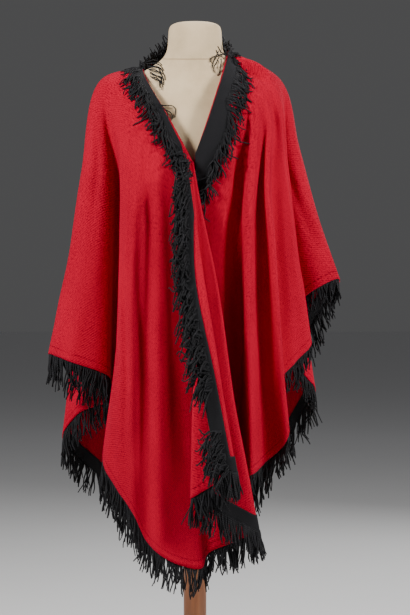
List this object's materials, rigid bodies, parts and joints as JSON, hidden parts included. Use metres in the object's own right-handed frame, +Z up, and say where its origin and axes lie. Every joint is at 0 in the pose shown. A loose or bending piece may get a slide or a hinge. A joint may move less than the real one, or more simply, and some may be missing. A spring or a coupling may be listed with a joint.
{
  "type": "fringed poncho on a dress form",
  "caption": "Open-fronted wool poncho with fringed edges, draped over a limbless dress form on a round-based stand.",
  "frame": {"origin": "on the floor, at the middle of the stand's round base", "axes": "+Z up along the pole; +X to the left arm of the form, the viewer's right; -Y towards the viewer, the front of the garment"},
  "size_m": [0.6279, 0.4888, 1.5261],
  "materials": {
    "cloth": "red wool twill, matt with a soft nap",
    "fringe": "black wool band and twisted fringe",
    "form_cover": "cream jersey stretched over the form",
    "stand_wood": "light varnished hardwood"
  },
  "bodies": {
    "root": {"front_right": "cloth", "back": "cloth", "front_left": "cloth", "fringe_hem_front_right": "fringe", "fringe_hem_back": "fringe", "fringe_hem_front_left": "fringe", "fringe_front_right": "fringe", "fringe_front_left": "fringe", "fringe_neck_right": "fringe", "fringe_neck_back": "fringe", "fringe_neck_left": "fringe", "form_torso": "form_cover", "stand_pole": "stand_wood", "stand_base": "stand_wood"}
  },
  "joints": []
}
